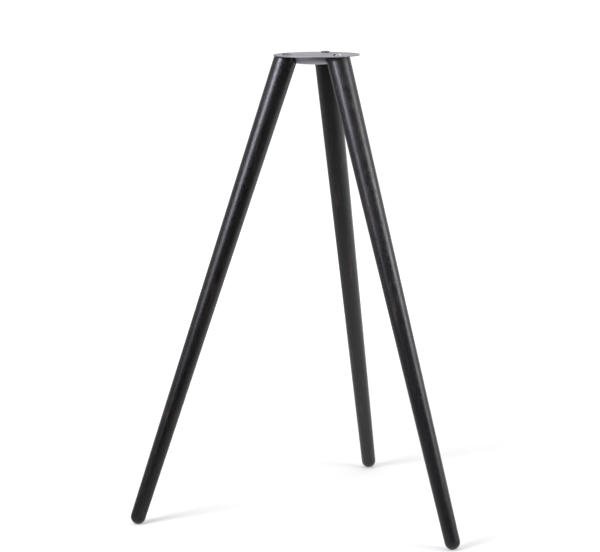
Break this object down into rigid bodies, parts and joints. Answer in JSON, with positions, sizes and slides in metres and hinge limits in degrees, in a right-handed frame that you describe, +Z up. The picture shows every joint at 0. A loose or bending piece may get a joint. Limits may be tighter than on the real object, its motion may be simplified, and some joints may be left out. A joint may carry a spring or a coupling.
{
  "type": "tripod stand",
  "caption": "Free-standing tripod with splayed, tapered black-stained wooden legs bolted under a round steel hub with a flat mounting plate.",
  "frame": {"origin": "centre of the top plate's upper face, on the stand's axis; the floor is at z = -0.900 m", "axes": "+Z up, square to the plate and along the stand's axis; +Y towards the back leg; the left and right legs point to 210 and 330 degrees from +X"},
  "size_m": [0.6534, 0.5697, 0.9028],
  "materials": {
    "black_stained_wood": "open-grained hardwood stained black, with a thin satin lacquer",
    "plate_steel": "satin plain steel",
    "dish_steel": "dull pressed steel",
    "bolt_steel": "plain steel bolts, slightly glossy",
    "zinc_steel": "dull zinc plating on hidden steel parts",
    "insert_brass": "plain turned brass, hidden in the legs"
  },
  "bodies": {
    "root": {"top_plate": "plate_steel", "hub_dish": "dish_steel", "leg_left": "black_stained_wood", "leg_right": "black_stained_wood", "leg_back": "black_stained_wood", "leg_bolt_left": "bolt_steel", "leg_bolt_right": "bolt_steel", "leg_bolt_back": "bolt_steel", "leg_insert_left": "insert_brass", "leg_insert_right": "insert_brass", "leg_insert_back": "insert_brass", "mount_nut_front_left": "zinc_steel", "mount_nut_front_right": "zinc_steel", "mount_nut_rear_left": "zinc_steel", "mount_nut_rear_right": "zinc_steel"}
  },
  "joints": []
}
